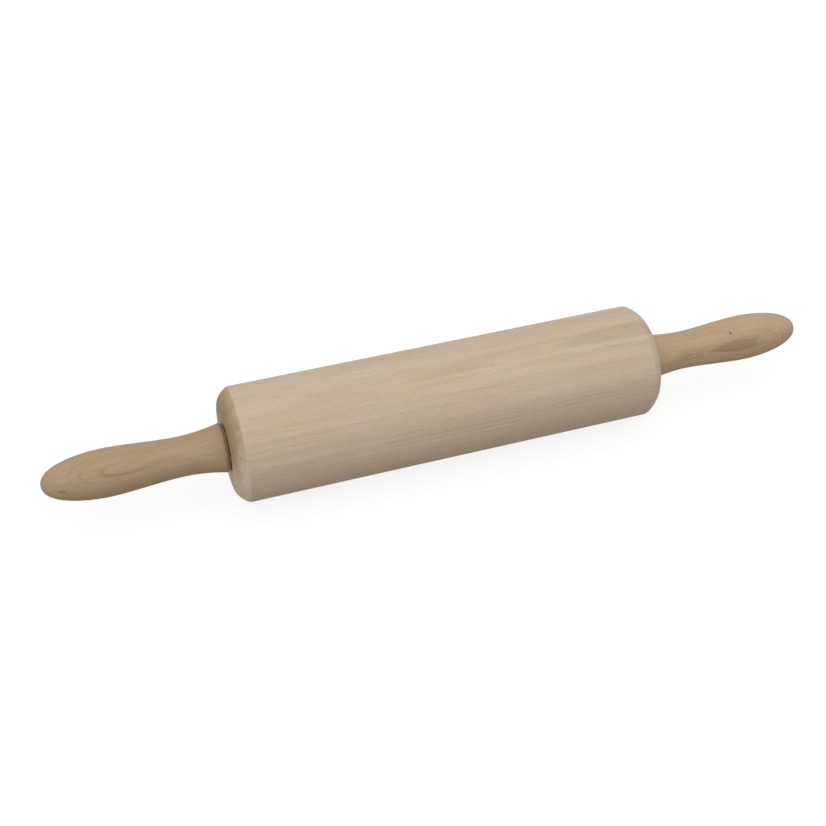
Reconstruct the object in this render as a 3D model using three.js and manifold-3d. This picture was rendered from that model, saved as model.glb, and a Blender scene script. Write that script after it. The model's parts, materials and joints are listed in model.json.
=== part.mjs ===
// A wooden rolling pin. A turned beech barrel spins on two ball bearings, which sit on a stepped steel axle.
// A turned handle is screwed on each end of the axle, and its root stands a little off the barrel's end face.
// Millimetres, +Z up. The axle runs along X, and the origin is on the table under the middle of the barrel.
import * as THREE from 'three';
import { mergeVertices } from 'three/addons/utils/BufferGeometryUtils.js';
import Module from 'manifold-3d';

const wasm = await Module();
wasm.setup();

// Barrel
const BARREL_DIAMETER = 65;
const BARREL_LENGTH = 250;
const SHOULDER_LENGTH = 6.9; // the rounded shoulder, along the axle
const SHOULDER_DEPTH = 9.4; // the rounded shoulder, across the end face
const SHOULDER_LEAN = THREE.MathUtils.degToRad(31); // how sharply it leaves the side
const SHOULDER_LIMIT = 0.8; // most of the end wall that it may take up
const FACE_DISH = 0.6; // how far the end face is hollowed towards the recess
const RECESS_ROUNDING = 0.5; // the edge of the bearing's recess

// Handle: lengths run outwards from the barrel's end
const ROOT_GAP = 1.2; // from the barrel's end to the root
const FLARE_LENGTH = 25.4;
const SWELL_LENGTH = 40;
const NOSE_LENGTH = 34.6;
const ROOT_DIAMETER = 27.8;
const ROOT_CHAMFER = 0.6;
const NECK_STEP = 0.9; // from the root's side in to its neck, beside the barrel
const WAIST_DIAMETER = 22.2;
const SWELL_DIAMETER = 26.6;
const SWELL_PULL = 0.31; // how long the swell stays level at its ends, as a share of its length
const NOSE_PULL = 0.2; // the same for the start of the nose
const NOSE_FULLNESS = 0.9; // how blunt the nose is, as a share of the swell's radius

// Ball bearing
const BEARING_BORE = 8;
const RACE_WALL = 1.4; // under the groove
const RACE_SHOULDER = 0.9; // from the bottom of the groove to the rim
const BALL_DIAMETER = 3.96;
const BALL_COUNT = 7;
const CAGE_WALL = 1.2;
const CAGE_EDGE = 0.4; // what is left of the cage beside a pocket
const SHIELD_THICKNESS = 0.4;
const SHIELD_INSET = 0.17; // from the side of the races

// Axle, threaded inserts and spacers
const AXLE_STEP = 1; // from a journal up to the axle's middle
const STUD_STEP = 0.9; // from a journal down to the stud
const STUD_CHAMFER = 0.8;
const STUD_PAST_INSERT = 30;
const INSERT_WALL = 2.4;
const INSERT_LENGTH = 18;
const SPACER_THICKNESS = 2;

// Clearances
const SEAT_GAP = 0.1; // between pieces that are fixed to each other
const GLUE_GAP = 0.3; // round the bearing in its recess
const BALL_GAP = 0.12; // between a ball and the races
const RUN_GAP = 0.25; // between pieces that turn past each other
const CAGE_ROOM = 0.3; // between the cage and a shield
const BORE_ROOM = 0.6; // between the barrel's bore and the inner race's rim
const NECK_ROOM = 0.5; // between the handle's neck and the barrel's hollowed end
const STUD_ROOM = 1; // past the end of the stud

// How many flat sides, or steps, stand for a round surface
const BARREL_SIDES = 40;
const HANDLE_SIDES = 28;
const BEARING_SIDES = 28;
const AXLE_SIDES = 20;
const BALL_SIDES = 8;
const BALL_RINGS = 6;
const LONG_CURVE_STEPS = 8;
const SHORT_CURVE_STEPS = 3;

// Radii, from the axle outwards
const JOURNAL_RADIUS = BEARING_BORE / 2 - SEAT_GAP;
const STUD_RADIUS = JOURNAL_RADIUS - STUD_STEP;
const STUD_HOLE_RADIUS = STUD_RADIUS + SEAT_GAP;
const INSERT_RADIUS = STUD_HOLE_RADIUS + INSERT_WALL;
const INSERT_HOLE_RADIUS = INSERT_RADIUS + SEAT_GAP;
const BALL_RADIUS = BALL_DIAMETER / 2;
const GROOVE_RADIUS = BALL_RADIUS + BALL_GAP;
const POCKET_RADIUS = BALL_RADIUS + RUN_GAP;
const PITCH_RADIUS = BEARING_BORE / 2 + RACE_WALL + GROOVE_RADIUS;
const INNER_RIM_RADIUS = PITCH_RADIUS - GROOVE_RADIUS + RACE_SHOULDER;
const OUTER_RIM_RADIUS = PITCH_RADIUS + GROOVE_RADIUS - RACE_SHOULDER;
const BEARING_RADIUS = PITCH_RADIUS + GROOVE_RADIUS + RACE_WALL;
const BORE_RADIUS = INNER_RIM_RADIUS + BORE_ROOM;
const RECESS_RADIUS = BEARING_RADIUS + GLUE_GAP;
const SPACER_HOLE_RADIUS = INNER_RIM_RADIUS + SEAT_GAP;
const ROOT_RADIUS = ROOT_DIAMETER / 2;
const NECK_RADIUS = ROOT_RADIUS - NECK_STEP;
const BARREL_RADIUS = BARREL_DIAMETER / 2;

// Places along the axle, from the middle of the barrel
const CAGE_HALF_WIDTH = POCKET_RADIUS + CAGE_EDGE;
const SHIELD_PLACE = CAGE_HALF_WIDTH + CAGE_ROOM + SHIELD_THICKNESS / 2;
const BEARING_HALF_WIDTH = SHIELD_PLACE + SHIELD_THICKNESS / 2 + SHIELD_INSET;
const END_FACE = BARREL_LENGTH / 2;
const ROOT_FACE = END_FACE + ROOT_GAP;
const SPACER_PLACE = ROOT_FACE - SEAT_GAP - SPACER_THICKNESS / 2;
const BEARING_PLACE = SPACER_PLACE - SPACER_THICKNESS / 2 - SEAT_GAP - BEARING_HALF_WIDTH;
const BEARING_BACK = BEARING_PLACE - BEARING_HALF_WIDTH - SEAT_GAP;
const NECK_END = END_FACE - FACE_DISH + NECK_ROOM;
const STUD_END = ROOT_FACE + INSERT_LENGTH + STUD_PAST_INSERT;

const paleBeech = new THREE.MeshStandardMaterial({ color: 0xcdb798, roughness: 0.62, metalness: 0 });
const warmBeech = new THREE.MeshStandardMaterial({ color: 0xb99c7b, roughness: 0.55, metalness: 0 });
const steel = new THREE.MeshStandardMaterial({ color: 0xb8bcc0, roughness: 0.32, metalness: 1 });
const ballSteel = new THREE.MeshStandardMaterial({ color: 0xd6d9dc, roughness: 0.12, metalness: 1 });
const brass = new THREE.MeshStandardMaterial({ color: 0xc2a25a, roughness: 0.35, metalness: 1 });
const nylon = new THREE.MeshStandardMaterial({ color: 0xe9e4d6, roughness: 0.5, metalness: 0 });

// A path along straight lines between corners, each [along the axle, radius].
function pathThrough(corners) {
  return new THREE.Path(corners.map(([along, radius]) => new THREE.Vector2(along, radius)));
}

// The same points at the other end of the pin, in the opposite order.
function otherEnd(points) {
  return points.map((p) => new THREE.Vector2(-p.x, p.y)).reverse();
}

// The solid that an outline, in points (along, radius), turns into about X. The middle of each flat side lies on
// the true radius, and one flat side faces straight down.
function turned(points, sides) {
  const spread = 1 / Math.cos(Math.PI / sides);
  const outline = points.map((p) => new THREE.Vector2(p.y * spread, p.x));
  return new THREE.LatheGeometry(outline, sides, Math.PI / sides).rotateZ(-Math.PI / 2);
}

// A plain ring about X, between two radii, with its middle at the origin.
function ring(inside, outside, halfWidth, sides) {
  const path = pathThrough([
    [-halfWidth, inside],
    [-halfWidth, outside],
    [halfWidth, outside],
    [halfWidth, inside],
    [-halfWidth, inside],
  ]);
  return turned(path.getPoints(), sides);
}

function solidOf(geometry) {
  const bare = geometry.clone().deleteAttribute('normal').deleteAttribute('uv');
  const merged = mergeVertices(bare, 1e-4);
  const vertProperties = merged.getAttribute('position').array;
  return new wasm.Manifold(new wasm.Mesh({ numProp: 3, vertProperties, triVerts: merged.index.array }));
}

function geometryOf(solid) {
  const mesh = solid.getMesh();
  const geometry = new THREE.BufferGeometry();
  geometry.setAttribute('position', new THREE.BufferAttribute(mesh.vertProperties, 3));
  geometry.setIndex(new THREE.BufferAttribute(mesh.triVerts, 1));
  geometry.computeVertexNormals();
  return geometry;
}

function piece(name, geometry, material, along = 0) {
  const mesh = new THREE.Mesh(geometry, material);
  mesh.name = name;
  mesh.position.x = along;
  return mesh;
}

// The barrel: rounded shoulders, end faces that are hollowed a little, a recess in each end for a bearing, and a
// bore between the two.
function barrelGeometry() {
  const depth = Math.min(SHOULDER_DEPTH, SHOULDER_LIMIT * (BARREL_RADIUS - RECESS_RADIUS));
  const lean = Math.min(SHOULDER_LENGTH * Math.tan(SHOULDER_LEAN), depth);
  const end = pathThrough([[END_FACE - SHOULDER_LENGTH, BARREL_RADIUS]]);
  end.quadraticCurveTo(END_FACE, BARREL_RADIUS - lean, END_FACE, BARREL_RADIUS - depth);
  const recess = END_FACE - FACE_DISH;
  end.lineTo(recess, RECESS_RADIUS + RECESS_ROUNDING);
  end.quadraticCurveTo(recess, RECESS_RADIUS, recess - RECESS_ROUNDING, RECESS_RADIUS);
  end.lineTo(BEARING_BACK, RECESS_RADIUS);
  end.lineTo(BEARING_BACK, BORE_RADIUS);
  const points = end.getPoints(SHORT_CURVE_STEPS);
  return turned([...points, ...otherEnd(points), points[0]], BARREL_SIDES);
}

// A handle that points along +X from the barrel's end: a blind bore for the insert and the stud, a neck that reaches
// round the spacer, a flared root, a waist, a swell and a blunt nose.
function handleGeometry() {
  const waist = WAIST_DIAMETER / 2;
  const swell = SWELL_DIAMETER / 2;
  const insertEnd = ROOT_GAP + INSERT_LENGTH + SEAT_GAP;
  const boreEnd = ROOT_GAP + INSERT_LENGTH + STUD_PAST_INSERT + STUD_ROOM;
  const neckEnd = NECK_END - END_FACE;
  const swellPlace = FLARE_LENGTH + SWELL_LENGTH;
  const tip = swellPlace + NOSE_LENGTH;
  const path = pathThrough([
    [boreEnd, 0],
    [boreEnd, STUD_HOLE_RADIUS],
    [insertEnd, STUD_HOLE_RADIUS],
    [insertEnd, INSERT_HOLE_RADIUS],
    [ROOT_GAP, INSERT_HOLE_RADIUS],
    [ROOT_GAP, SPACER_HOLE_RADIUS],
    [neckEnd, SPACER_HOLE_RADIUS],
    [neckEnd, NECK_RADIUS],
    [ROOT_GAP, NECK_RADIUS],
    [ROOT_GAP, ROOT_RADIUS - ROOT_CHAMFER],
    [ROOT_GAP + ROOT_CHAMFER, ROOT_RADIUS],
  ]);
  path.quadraticCurveTo((ROOT_GAP + FLARE_LENGTH) / 2, waist, FLARE_LENGTH, waist);
  path.bezierCurveTo(FLARE_LENGTH + SWELL_PULL * SWELL_LENGTH, waist,
    swellPlace - SWELL_PULL * SWELL_LENGTH, swell, swellPlace, swell);
  path.bezierCurveTo(swellPlace + NOSE_PULL * NOSE_LENGTH, swell, tip, NOSE_FULLNESS * swell, tip, 0);
  return turned(path.getPoints(LONG_CURVE_STEPS), HANDLE_SIDES);
}

// The axle: a thicker middle between the bearings, a journal in each bearing and a stud in each handle.
function axleGeometry() {
  const journalEnd = ROOT_FACE - SEAT_GAP;
  const points = pathThrough([
    [BEARING_BACK, JOURNAL_RADIUS + AXLE_STEP],
    [BEARING_BACK, JOURNAL_RADIUS],
    [journalEnd, JOURNAL_RADIUS],
    [journalEnd, STUD_RADIUS],
    [STUD_END - STUD_CHAMFER, STUD_RADIUS],
    [STUD_END, STUD_RADIUS - STUD_CHAMFER],
    [STUD_END, 0],
  ]).getPoints();
  return turned([...otherEnd(points), ...points], AXLE_SIDES);
}

// The outer race: a ring with a groove for the balls, an arc about their centres, in its inside.
function outerRaceGeometry() {
  const lip = Math.asin((OUTER_RIM_RADIUS - PITCH_RADIUS) / GROOVE_RADIUS);
  const path = pathThrough([
    [-BEARING_HALF_WIDTH, OUTER_RIM_RADIUS],
    [-BEARING_HALF_WIDTH, BEARING_RADIUS],
    [BEARING_HALF_WIDTH, BEARING_RADIUS],
    [BEARING_HALF_WIDTH, OUTER_RIM_RADIUS],
  ]);
  path.absarc(0, PITCH_RADIUS, GROOVE_RADIUS, lip, Math.PI - lip, false);
  path.lineTo(-BEARING_HALF_WIDTH, OUTER_RIM_RADIUS);
  return turned(path.getPoints(SHORT_CURVE_STEPS), BEARING_SIDES);
}

// The inner race: a ring with the same groove in its outside.
function innerRaceGeometry() {
  const lip = Math.asin((PITCH_RADIUS - INNER_RIM_RADIUS) / GROOVE_RADIUS);
  const path = pathThrough([
    [-BEARING_HALF_WIDTH, BEARING_BORE / 2],
    [-BEARING_HALF_WIDTH, INNER_RIM_RADIUS],
  ]);
  path.absarc(0, PITCH_RADIUS, GROOVE_RADIUS, Math.PI + lip, 2 * Math.PI - lip, false);
  path.lineTo(BEARING_HALF_WIDTH, INNER_RIM_RADIUS);
  path.lineTo(BEARING_HALF_WIDTH, BEARING_BORE / 2);
  path.lineTo(-BEARING_HALF_WIDTH, BEARING_BORE / 2);
  return turned(path.getPoints(SHORT_CURVE_STEPS), BEARING_SIDES);
}

// The place of a ball round the axle, in the middle plane of its bearing.
function ballPlace(i) {
  const angle = (2 * Math.PI * i) / BALL_COUNT;
  return new THREE.Vector3(0, PITCH_RADIUS * Math.sin(angle), PITCH_RADIUS * Math.cos(angle));
}

// The cage: a ring at the balls' pitch, with a round pocket for each ball.
function cageGeometry() {
  const inside = PITCH_RADIUS - CAGE_WALL / 2;
  let cage = solidOf(ring(inside, inside + CAGE_WALL, CAGE_HALF_WIDTH, BEARING_SIDES));
  for (let i = 0; i < BALL_COUNT; i++) {
    const pocket = new THREE.SphereGeometry(POCKET_RADIUS, BALL_SIDES, BALL_RINGS);
    cage = cage.subtract(solidOf(pocket.translate(...ballPlace(i))));
  }
  return geometryOf(cage);
}

function bearing(side) {
  const group = new THREE.Group();
  group.position.x = BEARING_PLACE;
  const shield = ring(INNER_RIM_RADIUS + RUN_GAP, OUTER_RIM_RADIUS - SEAT_GAP, SHIELD_THICKNESS / 2,
    BEARING_SIDES);
  group.add(
    piece(`${side}_outer_race`, outerRaceGeometry(), steel),
    piece(`${side}_inner_race`, innerRaceGeometry(), steel),
    piece(`${side}_ball_cage`, cageGeometry(), nylon),
    piece(`${side}_outside_shield`, shield, steel, SHIELD_PLACE),
    piece(`${side}_inside_shield`, shield, steel, -SHIELD_PLACE),
  );
  for (let i = 0; i < BALL_COUNT; i++) {
    const ball = new THREE.SphereGeometry(BALL_RADIUS, BALL_SIDES, BALL_RINGS);
    const mesh = piece(`${side}_ball_${i + 1}`, ball, ballSteel);
    mesh.position.copy(ballPlace(i));
    group.add(mesh);
  }
  return group;
}

// What is at one end of the pin, pointing along +X.
function endOfPin(side) {
  const group = new THREE.Group();
  const spacer = ring(BEARING_BORE / 2, INNER_RIM_RADIUS, SPACER_THICKNESS / 2, AXLE_SIDES);
  const insert = ring(STUD_HOLE_RADIUS, INSERT_RADIUS, INSERT_LENGTH / 2, AXLE_SIDES);
  group.add(
    bearing(side),
    piece(`${side}_spacer`, spacer, steel, SPACER_PLACE),
    piece(`${side}_threaded_insert`, insert, brass, ROOT_FACE + INSERT_LENGTH / 2),
    piece(`${side}_handle`, handleGeometry(), warmBeech, END_FACE),
  );
  return group;
}

const leftEnd = endOfPin('left');
leftEnd.rotation.z = Math.PI;

const rollingPin = new THREE.Group();
rollingPin.position.z = BARREL_RADIUS;
rollingPin.add(
  piece('barrel', barrelGeometry(), paleBeech),
  piece('axle', axleGeometry(), steel),
  endOfPin('right'),
  leftEnd,
);

export default rollingPin;
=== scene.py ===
# %% [markdown]
# # A wooden rolling pin
# A rolling pin is a wooden barrel that spins on an axle between two handles. Its pieces, their sizes
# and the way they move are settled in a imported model, which this lesson loads as a fixed frame. The
# frame's pieces have flat sides. Here each of them is turned again, round and smooth, and gets the wood
# or metal that it is made of.

# %% Load the frame
import json
import math

import bpy
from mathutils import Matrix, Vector


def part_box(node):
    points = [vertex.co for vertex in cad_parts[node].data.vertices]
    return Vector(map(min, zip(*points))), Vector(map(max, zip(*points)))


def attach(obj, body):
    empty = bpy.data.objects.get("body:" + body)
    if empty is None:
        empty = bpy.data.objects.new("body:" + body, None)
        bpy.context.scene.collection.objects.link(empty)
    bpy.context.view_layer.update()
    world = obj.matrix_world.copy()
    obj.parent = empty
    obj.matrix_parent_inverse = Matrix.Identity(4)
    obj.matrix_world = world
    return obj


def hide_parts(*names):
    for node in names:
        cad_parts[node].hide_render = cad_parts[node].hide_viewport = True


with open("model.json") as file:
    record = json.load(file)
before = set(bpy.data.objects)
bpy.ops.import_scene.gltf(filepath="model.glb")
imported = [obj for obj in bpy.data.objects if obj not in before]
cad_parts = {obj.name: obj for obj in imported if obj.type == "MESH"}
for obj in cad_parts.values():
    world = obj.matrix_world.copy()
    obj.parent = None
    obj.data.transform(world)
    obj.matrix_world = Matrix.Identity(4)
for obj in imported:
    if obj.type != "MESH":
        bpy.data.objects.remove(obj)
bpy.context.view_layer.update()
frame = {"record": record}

MM = 0.001
barrel_low, barrel_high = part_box("barrel")
AXLE_HEIGHT = (barrel_low.z + barrel_high.z) / 2
BODY_OF = {node: body for body, nodes in frame["record"]["behaviour"]["bodies"].items() for node in nodes}
SLOT_OF = {part["node"]: part["material_slot"] for part in frame["record"]["subparts"]}

# %% [markdown]
# ## The camera
# The picture is taken from in front of the pin, a little from its left end and from well above. The
# camera could be placed by hand and turned until it looks right. Here its place is written as an angle
# round the pin, an angle above the table and a distance from the point that it aims at, because each of
# these can be changed on its own.

# %% Place the camera
CAMERA_SWING = math.radians(-17.997)
CAMERA_RISE = math.radians(41.285)
CAMERA_DISTANCE = 0.76206
CAMERA_LENS_MM = 58.41
CAMERA_AIM = Vector((-0.01722, 0, AXLE_HEIGHT - 0.00449))

away = Vector((
    math.sin(CAMERA_SWING) * math.cos(CAMERA_RISE),
    -math.cos(CAMERA_SWING) * math.cos(CAMERA_RISE),
    math.sin(CAMERA_RISE),
))
bpy.ops.object.select_all(action="DESELECT")
bpy.ops.object.camera_add(
    location=CAMERA_AIM + CAMERA_DISTANCE * away,
    rotation=away.to_track_quat("Z", "Y").to_euler(),
)
camera = bpy.context.object
camera.data.lens = CAMERA_LENS_MM
bpy.context.scene.camera = camera
bpy.context.scene.view_settings.view_transform = "Standard"
print("camera at", [round(c, 3) for c in camera.location])

# %% [markdown]
# ## Writing shaders as sums
# A material is a web of nodes, and most of those only add, multiply or compare numbers. Drawn by hand
# that web soon gets hard to read. Here a small class wraps a socket, so that an ordinary Python sum
# adds the Math nodes, and one method adds every other kind of node.

# %% Sums on sockets
def plug(value, target):
    """Links a wire into a socket, or sets the socket to a plain value."""
    if isinstance(value, Wire):
        target.id_data.links.new(value.socket, target)
    else:
        target.default_value = value


class Wire:
    """What comes out of a node's socket. A sum of wires and numbers adds the Math nodes for it."""

    def __init__(self, socket):
        self.socket = socket

    def sum(self, operation, *values):
        node = self.socket.id_data.nodes.new("ShaderNodeMath")
        node.operation = operation
        for value, target in zip(values, node.inputs):
            plug(value, target)
        return Wire(node.outputs[0])

    def beside(self, output):
        return Wire(self.socket.node.outputs[output])

    def __add__(self, other):
        return self.sum("ADD", self, other)

    def __radd__(self, other):
        return self.sum("ADD", other, self)

    def __sub__(self, other):
        return self.sum("SUBTRACT", self, other)

    def __rsub__(self, other):
        return self.sum("SUBTRACT", other, self)

    def __mul__(self, other):
        return self.sum("MULTIPLY", self, other)

    def __rmul__(self, other):
        return self.sum("MULTIPLY", other, self)

    def __truediv__(self, other):
        return self.sum("DIVIDE", self, other)

    def __floordiv__(self, other):
        return self.sum("FLOOR", self / other)

    def __mod__(self, other):
        return self.sum("FLOORED_MODULO", self, other)

    def __abs__(self):
        return self.sum("ABSOLUTE", self)


class Recipe:
    """Adds nodes to a material's or a world's node tree."""

    def __init__(self, owner):
        owner.use_nodes = True
        self.owner = owner
        self.tree = owner.node_tree

    def node(self, kind, settings=None, inputs=None, output=0):
        node = self.tree.nodes.new("ShaderNode" + kind)
        for name, value in (settings or {}).items():
            setattr(node, name, value)
        for name, value in (inputs or {}).items():
            plug(value, node.inputs[name])
        return Wire(node.outputs[output])

    def feed(self, node, inputs):
        for name, value in inputs.items():
            plug(value, self.tree.nodes[node].inputs[name])

    def mapped(self, vector, scale=(1, 1, 1), shift=(0, 0, 0)):
        return self.node("Mapping", inputs={"Vector": vector, "Scale": scale, "Location": shift})

    def millimetres(self, origin=0.0):
        """The place on the piece in millimetres, from a point on the axle."""
        place = self.node("TexCoord", output="Object")
        return self.mapped(place, (1 / MM, 1 / MM, 1 / MM), (-origin, 0, -AXLE_HEIGHT / MM))

    def length(self, vector):
        return self.node("VectorMath", {"operation": "LENGTH"}, {0: vector}, output="Value")

    def along(self, vector):
        return self.node("SeparateXYZ", inputs={0: vector}, output="X")

    def noise(self, vector, detail=2.0):
        """A soft random value about 0, about one unit from hill to hill."""
        return self.node("TexNoise", inputs={"Vector": vector, "Scale": 1.0, "Detail": detail}) - 0.5

    def rise(self, value, low, high):
        """0 below low, 1 above high, and a smooth step between them."""
        settings = {"interpolation_type": "SMOOTHSTEP"}
        return self.node("MapRange", settings, {"Value": value, "From Min": low, "From Max": high})

    def blend(self, share, first, second):
        """The first colour, with a share of the second."""
        return self.node("Mix", {"data_type": "RGBA"}, {0: share, 6: first, 7: second}, output=2)

    def shade(self, colour, brightness):
        return self.node("VectorMath", {"operation": "SCALE"}, {0: colour, "Scale": brightness})

    def bump(self, height, depth):
        """Shading as if the height stood that many metres high."""
        return self.node("Bump", inputs={"Distance": depth, "Height": height}, output="Normal")


print("wires and recipes are ready")

# %% [markdown]
# ## Floor and light
# The pin lies on a plain white table under soft light. A white sweep of paper could be modelled and lit
# until it burns out, but that much light would bleach the wood too. Here the light stays at a plain
# level, and only rays that go straight to the eye, or by way of a mirror or a glass, see the floor and
# the sky as white. The floor still takes the pin's shadow, and it throws a little light back up under
# the barrel.

# %% Sky
SKY_LIGHT = 0.74
WHITE = (1, 1, 1, 1)


def looks_direct(recipe):
    """1 for a ray from the camera, a mirror or a glass, 0 for light that is on its way to a surface."""
    camera_ray = recipe.node("LightPath", output="Is Camera Ray")
    glossy_ray = camera_ray.beside("Is Glossy Ray")
    glass_ray = camera_ray.beside("Is Transmission Ray")
    return camera_ray.sum("MAXIMUM", camera_ray, glossy_ray.sum("MAXIMUM", glossy_ray, glass_ray))


sky = Recipe(bpy.data.worlds.new("white_studio"))
bpy.context.scene.world = sky.owner
sky_glow = sky.node("Background", inputs={"Color": WHITE, "Strength": SKY_LIGHT})
sky_white = sky.node("Background", inputs={"Color": WHITE, "Strength": 1.0})
sky_mix = sky.node("MixShader", inputs={0: looks_direct(sky), 1: sky_glow, 2: sky_white})
sky.feed("World Output", {"Surface": sky_mix})
print("sky of strength", SKY_LIGHT)

# %% Floor
FLOOR_SIZE = 8.0
FLOOR_TONE = (0.22, 0.22, 0.22, 1)
FLOOR_LIFT = 0.84

bpy.ops.object.select_all(action="DESELECT")
bpy.ops.mesh.primitive_plane_add(size=FLOOR_SIZE, location=(0, 0, 0))
floor = bpy.context.object
floor.name = "floor"
paper = Recipe(bpy.data.materials.new("white_paper"))
paper_body = paper.node("BsdfDiffuse", inputs={"Color": FLOOR_TONE})
paper_light = FLOOR_LIFT * looks_direct(paper)
paper_glow = paper.node("Emission", inputs={"Color": WHITE, "Strength": paper_light})
paper.feed("Material Output", {"Surface": paper.node("AddShader", inputs={0: paper_body, 1: paper_glow})})
floor.data.materials.append(paper.owner)
print("floor", FLOOR_SIZE, "m wide")

# %% Lamps
def soft_sun(name, towards, strength, softness):
    """A sun that shines from a direction, as wide as a large soft box."""
    bpy.ops.object.select_all(action="DESELECT")
    turned = Vector(towards).to_track_quat("Z", "Y").to_euler()
    bpy.ops.object.light_add(type="SUN", location=Vector(towards).normalized(), rotation=turned)
    lamp = bpy.context.object
    lamp.name = name
    lamp.data.energy = strength
    lamp.data.angle = math.radians(softness)
    return lamp


soft_sun("overhead_lamp", towards=(0.0, -0.26, 0.97), strength=0.66, softness=70)
soft_sun("left_front_lamp", towards=(-0.75, -0.65, 0.13), strength=0.5, softness=60)

# %% [markdown]
# ## Turning on the lathe
# Nearly every piece of the pin was made on a lathe: wood or metal turns, and a tool cuts along it. The
# modelling follows the same idea. One vertex is drawn out, edge by edge, along half of the piece's
# section, and spinning that line once round the axle closes it into a solid. A cylinder that is scaled
# ring by ring would give the same shape, but then the curves and the bores would each need their own
# steps.

# %% Lines to turn
def curve(points, steps):
    """Points along a Bezier curve, without its first point, which the line before it has reached."""
    walk = []
    for step in range(1, steps + 1):
        t = step / steps
        row = points
        while len(row) > 1:
            row = [((1 - t) * a + t * c, (1 - t) * b + t * d) for (a, b), (c, d) in zip(row, row[1:])]
        walk.append(row[0])
    return walk


def arc(radius, start, end, steps, centre=0.0):
    """Points on an arc whose centre is that far from the axle. 0 degrees is along the axle, 90 outwards."""
    angles = [math.radians(start + (end - start) * step / steps) for step in range(steps + 1)]
    return [(radius * math.cos(angle), centre + radius * math.sin(angle)) for angle in angles]


def shifted(outline, distance):
    """The same outline, further along the axle."""
    return [(along + distance, radius) for along, radius in outline]


def other_end(outline):
    """The same outline at the other end of the pin, walked back to front."""
    return [(-along, radius) for along, radius in reversed(outline)]


def span(node):
    """Where a node of the frame begins and ends along the axle, in millimetres."""
    low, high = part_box(node)
    return low.x / MM, high.x / MM


print("the pin reaches", [round(end, 1) for end in (span("left_handle")[0], span("right_handle")[1])], "mm")

# %% The lathe
SMOOTH_BELOW = math.radians(20)
MERGE_WITHIN = MM / 1000


def turn(name, outline, sides):
    """Spins an outline of (along, radius) points, in millimetres, round the axle."""
    bpy.ops.object.select_all(action="DESELECT")
    bpy.ops.mesh.primitive_plane_add(size=MM, location=(0, 0, 0))
    piece = bpy.context.object
    piece.name = name
    bpy.ops.object.mode_set(mode="EDIT")
    bpy.ops.mesh.select_mode(type="VERT")
    bpy.ops.mesh.merge(type="CENTER")
    along, radius = outline[0]
    bpy.ops.transform.translate(value=(along * MM, 0, AXLE_HEIGHT + radius * MM))
    for (along, radius), (next_along, next_radius) in zip(outline, outline[1:]):
        step = ((next_along - along) * MM, 0, (next_radius - radius) * MM)
        bpy.ops.mesh.extrude_vertices_move(TRANSFORM_OT_translate={"value": step})
    bpy.ops.mesh.select_all(action="SELECT")
    bpy.ops.mesh.spin(steps=sides, angle=2 * math.pi, center=(0, 0, AXLE_HEIGHT), axis=(1, 0, 0))
    bpy.ops.mesh.select_all(action="SELECT")
    bpy.ops.mesh.remove_doubles(threshold=MERGE_WITHIN)
    bpy.ops.mesh.normals_make_consistent(inside=False)
    bpy.ops.object.mode_set(mode="OBJECT")
    bpy.ops.object.shade_smooth_by_angle(angle=SMOOTH_BELOW)
    print(name, len(piece.data.polygons), "faces")
    return piece


def apply_modifier(piece, kind, **settings):
    """Adds a modifier to a piece, sets it up and applies it."""
    bpy.ops.object.select_all(action="DESELECT")
    piece.select_set(True)
    bpy.context.view_layer.objects.active = piece
    bpy.ops.object.modifier_add(type=kind)
    modifier = piece.modifiers[-1]
    for name, value in settings.items():
        setattr(modifier, name, value)
    bpy.ops.object.modifier_apply(modifier=modifier.name)


def ease_edges(piece, width):
    """Takes the sharpness off a piece's corners, by a width in millimetres."""
    corners = {"limit_method": "ANGLE", "angle_limit": SMOOTH_BELOW}
    apply_modifier(piece, "BEVEL", width=width * MM, segments=2, **corners)
    bpy.ops.object.shade_smooth_by_angle(angle=SMOOTH_BELOW)


# %% Copies and places
def copy_of(piece, name):
    """A copy with a mesh of its own, selected and active."""
    bpy.ops.object.select_all(action="DESELECT")
    piece.select_set(True)
    bpy.context.view_layer.objects.active = piece
    bpy.ops.object.duplicate(linked=False)
    copy = bpy.context.object
    copy.name = name
    return copy


def left_twin(piece, name):
    """A copy of a piece at the right end, turned half a circle to the left end."""
    twin = copy_of(piece, name)
    bpy.ops.object.mode_set(mode="EDIT")
    bpy.ops.mesh.select_all(action="SELECT")
    bpy.ops.transform.rotate(value=math.pi, orient_axis="Z", center_override=(0, 0, 0))
    bpy.ops.object.mode_set(mode="OBJECT")
    return twin


def fit(piece, node, finish):
    """Lets a finished piece stand for a node of the frame and move with its body."""
    piece.data.materials.append(finish)
    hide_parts(node)
    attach(piece, BODY_OF[node])


print("lathe ready")

# %% [markdown]
# ## The barrel
# The barrel does the rolling. It is one straight cylinder of beech with rounded shoulders, which leave
# its side at a soft edge. Each end is hollowed a little and has a recess for a bearing, and a narrower
# bore joins the two recesses. The outline of one end is drawn once and repeated at the other end.

# %% Turn the barrel
BARREL_RADIUS = (barrel_high.z - barrel_low.z) / 2 / MM
END_FACE = barrel_high.x / MM
SHOULDER_LENGTH = 6.9
SHOULDER_DEPTH = 9.4
SHOULDER_LEAN = math.radians(31)
SHOULDER_EASING = 0.7
FACE_DISH = 0.6
RECESS_RADIUS = 11.3
RECESS_ROUNDING = 0.5
BORE_RADIUS = 6.9
SEAT_GAP = 0.1
RECESS_FLOOR = span("right_outer_race")[0] - SEAT_GAP
BARREL_SIDES = 240

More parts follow.
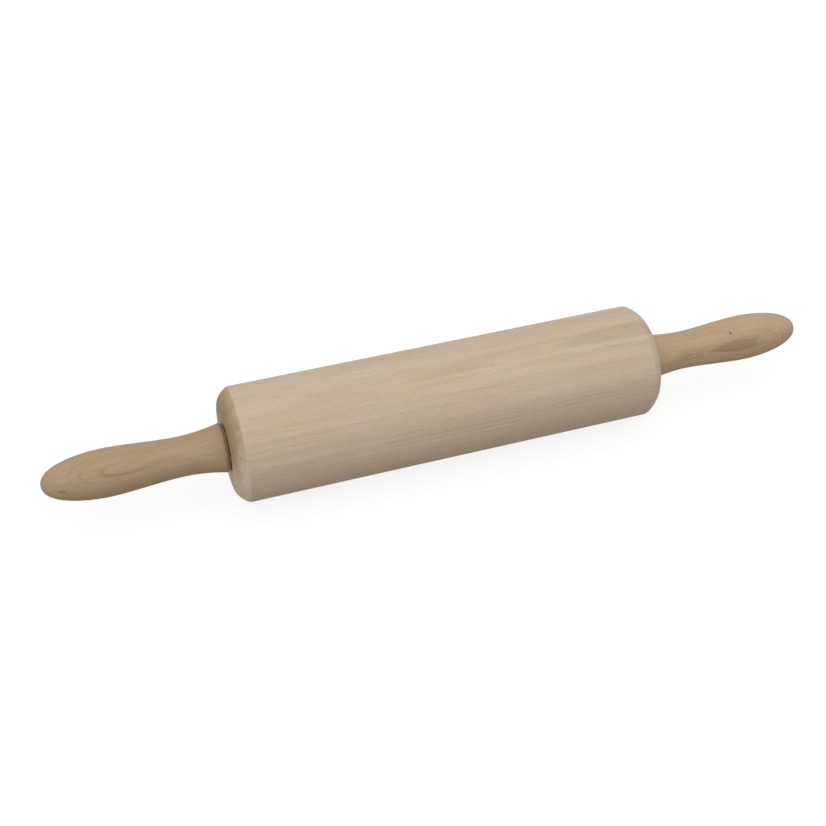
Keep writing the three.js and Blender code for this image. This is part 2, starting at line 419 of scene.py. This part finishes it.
shoulder_start = (END_FACE - SHOULDER_LENGTH, BARREL_RADIUS)
shoulder_bend = (END_FACE, BARREL_RADIUS - SHOULDER_LENGTH * math.tan(SHOULDER_LEAN))
shoulder_end = (END_FACE, BARREL_RADIUS - SHOULDER_DEPTH)
shoulder = curve([shoulder_start, shoulder_bend, shoulder_end], 20)
edge_start = (shoulder_start[0] - SHOULDER_EASING, BARREL_RADIUS)
recess_place = END_FACE - FACE_DISH
recess_start = (recess_place, RECESS_RADIUS + RECESS_ROUNDING)
recess_edge = (recess_place - RECESS_ROUNDING, RECESS_RADIUS)
barrel_end = [
    edge_start,
    *curve([edge_start, shoulder_start, shoulder[0]], 5),
    *shoulder[1:],
    recess_start,
    *curve([recess_start, (recess_place, RECESS_RADIUS), recess_edge], 6),
    (RECESS_FLOOR, RECESS_RADIUS),
    (RECESS_FLOOR, BORE_RADIUS),
]
barrel = turn("finished_barrel", [*barrel_end, *other_end(barrel_end), edge_start], BARREL_SIDES)

# %% [markdown]
# ## Beech
# Beech is pale and even. Each year of growth ends in a thin darker line, and since the years lie round
# the middle of the trunk, a turned piece shows them as long streaks where it cuts along them and as
# lines across its ends. A picture of wood could be wrapped round the piece, but its streaks would not
# run on into the ends. So the grain is a solid: it is worked out from the distance to the middle of the
# trunk, the pith, and the lathe's shape cuts through it. Fine fibres and small flecks lie along it, end
# grain has a tone of its own with painted light and shade on top, and knots, stains and painted shade
# are brown patches with a ragged edge.

# %% The grain of beech
PITH = 300.0
YEAR_LATE = 0.45
YEAR_LINE = 0.65
YEAR_EDGE = 0.9
HEART_EDGE = 0.07
HEART_FADE = 9.0
FACE_START = 2.0
DEEP_BROWN = (0.09, 0.05, 0.022, 1)
WOOD_SHINE = 0.12
GRAIN_HEIGHT = 0.00003

# Hills of each noise in a millimetre, along the axle and across it.
SWAY = (0.009, 0.05, 0.05)
RIPPLE = (0.09, 0.12, 0.12)
CLEARNESS = (0.022, 0.12, 0.12)
FIBRE = (0.05, 1.9, 1.9)
STREAK = (0.006, 0.3, 0.3)
CLOUD = (0.018, 0.08, 0.08)
TINT = (0.028, 0.15, 0.15)
FLECK = (0.2, 1.3, 1.3)


def beech(
    name, pale, dark, blush, honey, origin, facing, lean, wander, ring, first, lines, shows,
    fibres, flecks, ends, heart=None, patches=(),
):
    """Wood whose years face a direction round the axle, 0 for up and 90 for the front. Sizes are in mm.

    lean is how much the years climb along the axle, and wander how far they stray from that. first is the
    depth of one year's end, lines is how strongly the years show, and shows is the depths between which
    they come in. fibres and flecks are how strong those are. ends is about the end grain: the middle
    between the two ends, how far from there it begins, is past its edge and is full, and its colour above
    and below the axle, which holds painted light and shade on top of the end grain's own tone. heart is a
    depth beyond which the wood is darker, how much darker, and where along the axle that and the years'
    lines begin. A patch, for a knot, a stain or painted shade, is a place from the origin, its half
    lengths and how deep its brown is.
    """
    wood = Recipe(bpy.data.materials.new(name))
    place = wood.millimetres(origin)

    def hills(scale, detail=2.0, shift=(0, 0, 0)):
        return wood.noise(wood.mapped(place, scale, shift), detail)

    towards = math.radians(facing)
    pith = (0, -PITH * math.sin(towards), PITH * math.cos(towards))
    from_pith = wood.length(wood.mapped(place, (0, 1, 1), pith))
    stray = wander * hills(SWAY) + 0.2 * wander * hills(RIPPLE)
    depth = from_pith - PITH + lean * wood.along(place) + stray

    years = (depth - first) / ring
    season = years % 1.0
    mood = wood.node("TexWhiteNoise", {"noise_dimensions": "1D"}, {"W": years // 1.0}, output="Value")
    after = 1 - wood.rise(season, YEAR_EDGE, 1.0)
    late = wood.rise(season, YEAR_LATE, YEAR_EDGE) * after
    line = wood.rise(season, YEAR_LINE, YEAR_EDGE) * after
    seen = lines * wood.rise(hills(CLEARNESS), -0.16, 0.2) * wood.rise(depth, *shows)

    fibre = hills(FIBRE, 3.0)
    streak = hills(STREAK, 3.0)
    cloud = hills(CLOUD)
    tint = hills(TINT, shift=(40, 20, 10))
    speck = wood.node("TexVoronoi", inputs={"Vector": wood.mapped(place, FLECK), "Scale": 1.0})
    fleck = 1 - wood.rise(speck + 0.5 * fibre, 0.1, 0.36)

    darkness = 0.12 + 0.52 * streak + 0.25 * tint + fibres * fibre + flecks * fleck
    if heart:
        heart_depth, heart_tone, heart_start = heart
        begun = wood.rise(wood.along(place), heart_start - HEART_FADE, heart_start + HEART_FADE)
        inside = wood.rise(depth + 0.3 * fibre, heart_depth - HEART_EDGE, heart_depth + HEART_EDGE)
        seen = seen * begun
        darkness = darkness + heart_tone * inside * begun
    darkness = darkness + seen * (late * (0.1 + 0.15 * mood) + line * (0.25 + 0.5 * mood))

    colour = wood.blend(wood.rise(cloud + 0.5 * streak, -0.25, 0.25), pale, blush)
    colour = wood.blend(wood.rise(tint, -0.2, 0.2), colour, honey)
    colour = wood.blend(darkness, colour, dark)

    ends_middle, ends_begin, ends_edge, ends_full, upper_grain_and_painted_light, lower_grain_and_painted_light = ends
    reach = abs(wood.along(place) - ends_middle)
    edge = wood.rise(reach, ends_begin, ends_edge)
    face = wood.rise(reach, ends_edge + FACE_START, ends_full)
    height = wood.node("SeparateXYZ", inputs={0: place}, output="Z")
    # The end tones above and below the axle differ as painted light and shade, on top of the end grain's
    # own colour; the deepening towards the end face is partly painted shade.
    upper = wood.rise(height + 9 * face + 8 * cloud + 12 * fibre, 2, 28)
    full = 0.45 * edge + 0.55 * wood.rise(reach, ends_begin, ends_full)
    colour = wood.blend(edge * (1 - upper), colour, wood.shade(lower_grain_and_painted_light, 1.07 - 0.6 * darkness))
    colour = wood.blend(full * upper, colour, wood.shade(upper_grain_and_painted_light, 1.1 - 0.8 * darkness))

    for middle, half_lengths, strength in patches:
        scale = [1 / half for half in half_lengths]
        shift = [-at / half for at, half in zip(middle, half_lengths)]
        away = wood.length(wood.mapped(place, scale, shift)) + 0.6 * fibre
        colour = wood.blend(strength * (1 - wood.rise(away, 0.55, 1.0)), colour, DEEP_BROWN)

    wood.feed("Principled BSDF", {
        "Base Color": colour,
        "Roughness": 0.6 + 0.12 * fibre + 0.06 * fleck,
        "Specular IOR Level": WOOD_SHINE,
        "Normal": wood.bump(0.5 * fibre - 0.35 * fleck - 0.25 * seen * line, GRAIN_HEIGHT),
    })
    print(name, len(wood.tree.nodes), "nodes")
    return wood.owner


# %% [markdown]
# ## The barrel's wood
# The barrel is the palest piece. Its years are faint and far apart, so fibres, flecks and soft streaks
# do most of the work. The end grain is painted browner above the axle, as painted shade, and paler
# below it, as painted light, and a long brown streak lies near the right end.

# %% The barrel's wood
pale_beech = beech(
    "pale_beech",
    pale=(0.615, 0.502, 0.378, 1),
    dark=(0.400, 0.290, 0.190, 1),
    blush=(0.612, 0.458, 0.356, 1),
    honey=(0.615, 0.492, 0.345, 1),
    origin=0,
    facing=19,
    lean=0.0055,
    wander=0.8,
    ring=2.45,
    first=30.24,
    lines=0.42,
    shows=(4.0, 16.0),
    fibres=0.6,
    flecks=0.3,
    # The two end tones hold the end grain's colour with painted shade above the axle and painted light
    # below it.
    ends=(2.5, 120.4, 121.3, 127.0, (0.35, 0.238, 0.133), (0.66, 0.532, 0.405)),
    patches=[((106.0, -9.4, 31.1), (48.0, 6.0, 6.0), 0.15)],
)
fit(barrel, "barrel", pale_beech)

# %% [markdown]
# ## The handles
# A handle is turned from a browner piece of beech. Its flared root stands a little off the barrel, so
# that a dark ring shows between them, and a narrower neck closes that ring. From the root the handle
# narrows to a waist, swells to fill the palm and ends in a blunt nose. Three curves that meet smoothly
# give that line. The root is bored for the spacer, the brass insert and the axle's stud. One handle is
# turned, and a copy of it goes to the other end.

# %% Turn the handles
ROOT_GAP = 1.2
ROOT_FACE = END_FACE + ROOT_GAP
NECK_END = span("right_handle")[0]
FLARE_LENGTH = 25.4
SWELL_LENGTH = 40.0
NOSE_LENGTH = span("right_handle")[1] - END_FACE - FLARE_LENGTH - SWELL_LENGTH
ROOT_RADIUS = 13.9
NECK_STEP = 0.9
NECK_RADIUS = ROOT_RADIUS - NECK_STEP
SPACER_HOLE_RADIUS = 6.4
ROOT_CHAMFER = 0.6
WAIST_RADIUS = 11.1
SWELL_RADIUS = 13.3
SWELL_PULL = 0.31
NOSE_PULL = 0.2
NOSE_FULLNESS = 0.9
INSERT_HOLE_RADIUS = 5.6
INSERT_HOLE_END = span("right_threaded_insert")[1] + SEAT_GAP
STUD_HOLE_RADIUS = 3.1
STUD_HOLE_ROOM = 1.0
STUD_HOLE_END = span("axle")[1] + STUD_HOLE_ROOM
HANDLE_SIDES = 128

waist = END_FACE + FLARE_LENGTH
swell = waist + SWELL_LENGTH
tip = swell + NOSE_LENGTH
root_edge = (ROOT_FACE + ROOT_CHAMFER, ROOT_RADIUS)
flare_curve = [root_edge, ((ROOT_FACE + waist) / 2, WAIST_RADIUS), (waist, WAIST_RADIUS)]
swell_curve = [
    (waist, WAIST_RADIUS),
    (waist + SWELL_PULL * SWELL_LENGTH, WAIST_RADIUS),
    (swell - SWELL_PULL * SWELL_LENGTH, SWELL_RADIUS),
    (swell, SWELL_RADIUS),
]
nose_curve = [
    (swell, SWELL_RADIUS),
    (swell + NOSE_PULL * NOSE_LENGTH, SWELL_RADIUS),
    (tip, NOSE_FULLNESS * SWELL_RADIUS),
    (tip, 0),
]
handle_outline = [
    (STUD_HOLE_END, 0),
    (STUD_HOLE_END, STUD_HOLE_RADIUS),
    (INSERT_HOLE_END, STUD_HOLE_RADIUS),
    (INSERT_HOLE_END, INSERT_HOLE_RADIUS),
    (ROOT_FACE, INSERT_HOLE_RADIUS),
    (ROOT_FACE, SPACER_HOLE_RADIUS),
    (NECK_END, SPACER_HOLE_RADIUS),
    (NECK_END, NECK_RADIUS),
    (ROOT_FACE, NECK_RADIUS),
    (ROOT_FACE, ROOT_RADIUS - ROOT_CHAMFER),
    *curve([(ROOT_FACE, ROOT_RADIUS - ROOT_CHAMFER), (ROOT_FACE, ROOT_RADIUS), root_edge], 5),
    *curve(flare_curve, 24),
    *curve(swell_curve, 24),
    *curve(nose_curve, 40),
]
right_handle = turn("finished_right_handle", handle_outline, HANDLE_SIDES)
left_handle = left_twin(right_handle, "finished_left_handle")

# %% [markdown]
# ## The handles' wood
# The handles come from two browner pieces of beech. Where the left one swells, it cuts through the
# years, and they show as ovals one inside the other. On the right one the swell reaches darker
# heartwood, which shows as a lens. Each has a small knot, and each neck is painted dark brown where it
# runs beside the barrel, as painted shade for the gap there. A fainter painted shade goes a little way
# up the root.

# %% The handles' wood
# The neck and root patches are painted shade for the dark gap between each handle and the barrel.
NECK_PAINTED_SHADE_HALF = (0.7, 40, 40)
NECK_PAINTED_SHADE_DEPTH = 0.38
ROOT_PAINTED_SHADE_HALF = (4.0, 40, 40)
ROOT_PAINTED_SHADE_DEPTH = 0.15

left_beech = beech(
    "left_warm_beech",
    pale=(0.470, 0.340, 0.218, 1),
    dark=(0.275, 0.178, 0.098, 1),
    blush=(0.455, 0.315, 0.203, 1),
    honey=(0.470, 0.334, 0.206, 1),
    origin=-END_FACE,
    facing=45,
    lean=0.052,
    wander=0.3,
    ring=1.5,
    first=8.39,
    lines=0.7,
    shows=(4.6, 6.2),
    fibres=0.56,
    flecks=0.16,
    # The end tones above and below the axle are partly painted light and shade.
    ends=(0.0, 66.0, 94.0, 100.0, (0.41, 0.290, 0.183), (0.436, 0.314, 0.199)),
    patches=[
        ((-89.3, -9.6, 1.5), (3.6, 2.2, 1.4), 0.32),
        # Painted shade on the neck and the root, beside the barrel.
        ((-0.3, 0, 0), NECK_PAINTED_SHADE_HALF, NECK_PAINTED_SHADE_DEPTH),
        ((-0.3, 0, 0), ROOT_PAINTED_SHADE_HALF, ROOT_PAINTED_SHADE_DEPTH),
    ],
)
right_beech = beech(
    "right_warm_beech",
    pale=(0.537, 0.393, 0.254, 1),
    dark=(0.300, 0.195, 0.112, 1),
    blush=(0.510, 0.360, 0.234, 1),
    honey=(0.537, 0.386, 0.238, 1),
    origin=END_FACE,
    facing=68,
    lean=-0.05,
    wander=0.25,
    ring=1.8,
    first=9.77,
    lines=0.6,
    shows=(4.6, 6.2),
    fibres=0.72,
    flecks=0.2,
    # The end tones above and below the axle are partly painted light and shade.
    ends=(0.0, 84.0, 99.0, 100.0, (0.48, 0.360, 0.245), (0.480, 0.345, 0.220)),
    heart=(9.77, 0.5, 22.0),
    patches=[
        ((53.0, -6.6, 11.0), (1.1, 1.0, 1.0), 0.6),
        # Painted shade on the neck and the root, beside the barrel.
        ((0.3, 0, 0), NECK_PAINTED_SHADE_HALF, NECK_PAINTED_SHADE_DEPTH),
        ((0.3, 0, 0), ROOT_PAINTED_SHADE_HALF, ROOT_PAINTED_SHADE_DEPTH),
    ],
)
fit(left_handle, "left_handle", left_beech)
fit(right_handle, "right_handle", right_beech)

# %% [markdown]
# ## Steel, brass and nylon
# What the barrel runs on is hidden inside: a steel axle, two ball bearings, and a brass insert in each
# handle. Turned metal shows fine rings where the tool has passed, so a noise that only changes along
# the axle and away from it gives the colour, the gloss and the height of those rings. The balls are
# polished and the cages are moulded, so they get a soft cloudiness in place of rings. The outer races
# are painted a dark brown, as painted shade for the gap beside each handle's root.

# %% Metals and nylon
MARK_HEIGHT = 0.00002


def hardware(name, tone, metallic, roughness, marks, spacing):
    """A metal or plastic with tool marks that run round the axle, or only clouds where marks is 0."""
    finish = Recipe(bpy.data.materials.new(name))
    place = finish.millimetres()
    outwards = finish.length(finish.mapped(place, (0, 1, 1)))
    rings = finish.node("CombineXYZ", inputs={
        0: finish.along(place) / spacing,
        1: outwards / spacing,
    })
    groove = marks * finish.noise(rings, 3.0)
    cloud = finish.noise(finish.mapped(place, (0.3, 0.3, 0.3)), 3.0)
    grain = finish.noise(finish.mapped(place, (6, 6, 6)))
    finish.feed("Principled BSDF", {
        "Base Color": finish.shade(tone, 1 + 0.25 * groove + 0.12 * cloud),
        "Roughness": roughness + 0.2 * groove + 0.1 * cloud,
        "Metallic": metallic,
        "Normal": finish.bump(groove + 0.2 * grain, MARK_HEIGHT),
    })
    return finish.owner


FINISH_OF = {
    "steel": hardware("turned_steel", (0.48, 0.51, 0.53), 1.0, 0.3, 1.0, 0.18),
    "ball_steel": hardware("polished_steel", (0.66, 0.68, 0.70), 1.0, 0.1, 0.0, 1.0),
    "brass": hardware("turned_brass", (0.54, 0.36, 0.10), 1.0, 0.32, 1.0, 0.25),
    "nylon": hardware("moulded_nylon", (0.80, 0.76, 0.65), 0.0, 0.5, 0.0, 1.0),
    # The outer race's dark brown is painted shade for the gap beside each handle's root.
    "outer_race": hardware("painted_shade_steel", (0.11, 0.055, 0.025), 0.5, 0.6, 1.0, 0.18),
}
print("finishes:", list(FINISH_OF))


def fit_both(right_piece, node):
    """Puts a piece at the right end and a copy of it at the left end."""
    left_piece = left_twin(right_piece, f"finished_left_{node}")
    for side, piece in (("right", right_piece), ("left", left_piece)):
        finish = FINISH_OF.get(node, FINISH_OF[SLOT_OF[f"{side}_{node}"]])
        fit(piece, f"{side}_{node}", finish)


# %% [markdown]
# ## The axle
# One steel rod runs through the pin. Its middle is a little thicker, each bearing sits on a narrower
# journal, and a stud at each end goes into a handle. The journals and studs are steps in one outline.

# %% Turn the axle
AXLE_RADIUS = 4.9
JOURNAL_RADIUS = 3.9
JOURNAL_END = ROOT_FACE - SEAT_GAP
STUD_RADIUS = 3.0
STUD_END = span("axle")[1]
STUD_CHAMFER = 0.8
AXLE_EASING = 0.2
AXLE_SIDES = 64

axle_end = [
    (RECESS_FLOOR, AXLE_RADIUS),
    (RECESS_FLOOR, JOURNAL_RADIUS),
    (JOURNAL_END, JOURNAL_RADIUS),
    (JOURNAL_END, STUD_RADIUS),
    (STUD_END - STUD_CHAMFER, STUD_RADIUS),
    (STUD_END, STUD_RADIUS - STUD_CHAMFER),
    (STUD_END, 0),
]
axle = turn("finished_axle", [*other_end(axle_end), *axle_end], AXLE_SIDES)
ease_edges(axle, AXLE_EASING)
fit(axle, "axle", FINISH_OF["steel"])

# %% [markdown]
# ## The ball bearings
# A ball bearing is two steel rings with a groove between them, and balls that roll in the groove. A
# nylon cage keeps the balls apart, and a thin pressed shield closes each side. The rings are turned
# with the groove as an arc in their outline. The cage is a plain ring until the balls' pockets are cut
# out of it.

# %% Races
PITCH_RADIUS = 7.5
GROOVE_RADIUS = 2.1
INNER_BORE_RADIUS = 4.0
INNER_RIM_RADIUS = 6.3
OUTER_RIM_RADIUS = 8.7
BEARING_RADIUS = 11.0
race_start, race_end = span("right_outer_race")
BEARING_PLACE = (race_start + race_end) / 2
HALF_WIDTH = (race_end - race_start) / 2
BEARING_SIDES = 72
GROOVE_STEPS = 12
RACE_EASING = 0.25

lip = math.degrees(math.asin((OUTER_RIM_RADIUS - PITCH_RADIUS) / GROOVE_RADIUS))
outer_race_outline = [
    (-HALF_WIDTH, OUTER_RIM_RADIUS),
    (-HALF_WIDTH, BEARING_RADIUS),
    (HALF_WIDTH, BEARING_RADIUS),
    (HALF_WIDTH, OUTER_RIM_RADIUS),
    *arc(GROOVE_RADIUS, lip, 180 - lip, GROOVE_STEPS, PITCH_RADIUS),
    (-HALF_WIDTH, OUTER_RIM_RADIUS),
]
inner_race_outline = [
    (-HALF_WIDTH, INNER_BORE_RADIUS),
    (-HALF_WIDTH, INNER_RIM_RADIUS),
    *arc(GROOVE_RADIUS, 180 + lip, 360 - lip, GROOVE_STEPS, PITCH_RADIUS),
    (HALF_WIDTH, INNER_RIM_RADIUS),
    (HALF_WIDTH, INNER_BORE_RADIUS),
    (-HALF_WIDTH, INNER_BORE_RADIUS),
]
for node, outline in (("outer_race", outer_race_outline), ("inner_race", inner_race_outline)):
    race = turn(f"finished_right_{node}", shifted(outline, BEARING_PLACE), BEARING_SIDES)
    ease_edges(race, RACE_EASING)
    fit_both(race, node)

# %% Shields
SHIELD_HALF = 0.2
SHIELD_WALL = 0.25
SHIELD_BEAD = 0.15
SHIELD_INSIDE = 6.55
SHIELD_OUTSIDE = 8.6
BEAD_START = 0.4
BEAD_TOP = 0.7

shield_front = [
    (SHIELD_HALF - SHIELD_BEAD, SHIELD_INSIDE),
    (SHIELD_HALF - SHIELD_BEAD, SHIELD_INSIDE + BEAD_START),
    (SHIELD_HALF, SHIELD_INSIDE + BEAD_TOP),
    (SHIELD_HALF, SHIELD_OUTSIDE - BEAD_TOP),
    (SHIELD_HALF - SHIELD_BEAD, SHIELD_OUTSIDE - BEAD_START),
    (SHIELD_HALF - SHIELD_BEAD, SHIELD_OUTSIDE),
]
shield_back = [(along - SHIELD_WALL, radius) for along, radius in reversed(shield_front)]
shield_outline = [*shield_front, *shield_back, shield_front[0]]
shield_mirrored = [(-along, radius) for along, radius in shield_outline]
for node, outline in (("outside_shield", shield_outline), ("inside_shield", shield_mirrored)):
    shield_start, shield_end = span(f"right_{node}")
    shield_place = (shield_start + shield_end) / 2
    fit_both(turn(f"finished_right_{node}", shifted(outline, shield_place), BEARING_SIDES), node)

# %% Balls
BALL_RADIUS = 1.98
BALL_COUNT = 7
BALL_STEPS = 16
BALL_SIDES = 32


def ball_place(number):
    """Where a ball's centre is in the bearing, as a step away from the axle in metres."""
    angle = 2 * math.pi * (number - 1) / BALL_COUNT
    return Vector((0, PITCH_RADIUS * math.sin(angle), PITCH_RADIUS * math.cos(angle))) * MM


def moved(piece, step):
    """Moves a piece's mesh and leaves its object at the origin."""
    bpy.ops.object.mode_set(mode="EDIT")
    bpy.ops.mesh.select_all(action="SELECT")
    bpy.ops.transform.translate(value=step)
    bpy.ops.object.mode_set(mode="OBJECT")
    return piece


ball_outline = shifted(arc(BALL_RADIUS, 0, 180, BALL_STEPS), BEARING_PLACE)
pattern_ball = turn("pattern_ball", ball_outline, BALL_SIDES)
for number in range(1, BALL_COUNT + 1):
    ball = moved(copy_of(pattern_ball, f"finished_right_ball_{number}"), ball_place(number))
    fit_both(ball, f"ball_{number}")
bpy.data.objects.remove(pattern_ball)

# %% Cages
CAGE_WALL = 1.2
CAGE_HALF_WIDTH = 2.63
POCKET_RADIUS = 2.23
POCKET_STEPS = 12
POCKET_SIDES = 24

cage_inside = PITCH_RADIUS - CAGE_WALL / 2
cage_outline = [
    (-CAGE_HALF_WIDTH, cage_inside),
    (-CAGE_HALF_WIDTH, cage_inside + CAGE_WALL),
    (CAGE_HALF_WIDTH, cage_inside + CAGE_WALL),
    (CAGE_HALF_WIDTH, cage_inside),
    (-CAGE_HALF_WIDTH, cage_inside),
]
cage = turn("finished_right_ball_cage", shifted(cage_outline, BEARING_PLACE), BEARING_SIDES)
pocket_outline = shifted(arc(POCKET_RADIUS, 0, 180, POCKET_STEPS), BEARING_PLACE)
pattern_pocket = turn("pattern_pocket", pocket_outline, POCKET_SIDES)
for number in range(1, BALL_COUNT + 1):
    pocket = moved(copy_of(pattern_pocket, "pocket"), ball_place(number))
    apply_modifier(cage, "BOOLEAN", operation="DIFFERENCE", object=pocket)
    bpy.data.objects.remove(pocket)
bpy.data.objects.remove(pattern_pocket)
bpy.ops.object.shade_smooth_by_angle(angle=SMOOTH_BELOW)
print("cage with", BALL_COUNT, "pockets,", len(cage.data.polygons), "faces")
fit_both(cage, "ball_cage")

# %% [markdown]
# ## Spacers and inserts
# A steel spacer keeps the handle's root off the bearing, and a brass insert gives the axle's stud
# something better than wood to hold on to. The insert's outside has rings of barbs that bite into the
# bore, drawn as a sawtooth.

# %% Turn the spacers
SPACER_EASING = 0.2

spacer_start, spacer_end = span("right_spacer")
spacer_outline = [
    (spacer_start, INNER_BORE_RADIUS),
    (spacer_start, INNER_RIM_RADIUS),
    (spacer_end, INNER_RIM_RADIUS),
    (spacer_end, INNER_BORE_RADIUS),
    (spacer_start, INNER_BORE_RADIUS),
]
spacer = turn("finished_right_spacer", spacer_outline, BEARING_SIDES)
ease_edges(spacer, SPACER_EASING)
fit_both(spacer, "spacer")

# %% Turn the inserts
INSERT_RADIUS = 5.5
INSERT_SIDES = 48
INSERT_EASING = 0.08
BARB_DEPTH = 0.45
BARB_COUNT = 9
BARB_SLOPE = 0.9

insert_start, insert_end = span("right_threaded_insert")
barb_length = (insert_end - insert_start) / BARB_COUNT
insert_outline = [(insert_start, STUD_HOLE_RADIUS)]
for barb in range(BARB_COUNT):
    barb_start = insert_start + barb * barb_length
    insert_outline.append((barb_start, INSERT_RADIUS))
    insert_outline.append((barb_start + BARB_SLOPE * barb_length, INSERT_RADIUS - BARB_DEPTH))
insert_outline.append((insert_end, INSERT_RADIUS - BARB_DEPTH))
insert_outline.append((insert_end, STUD_HOLE_RADIUS))
insert_outline.append((insert_start, STUD_HOLE_RADIUS))
insert = turn("finished_right_threaded_insert", insert_outline, INSERT_SIDES)
ease_edges(insert, INSERT_EASING)
fit_both(insert, "threaded_insert")
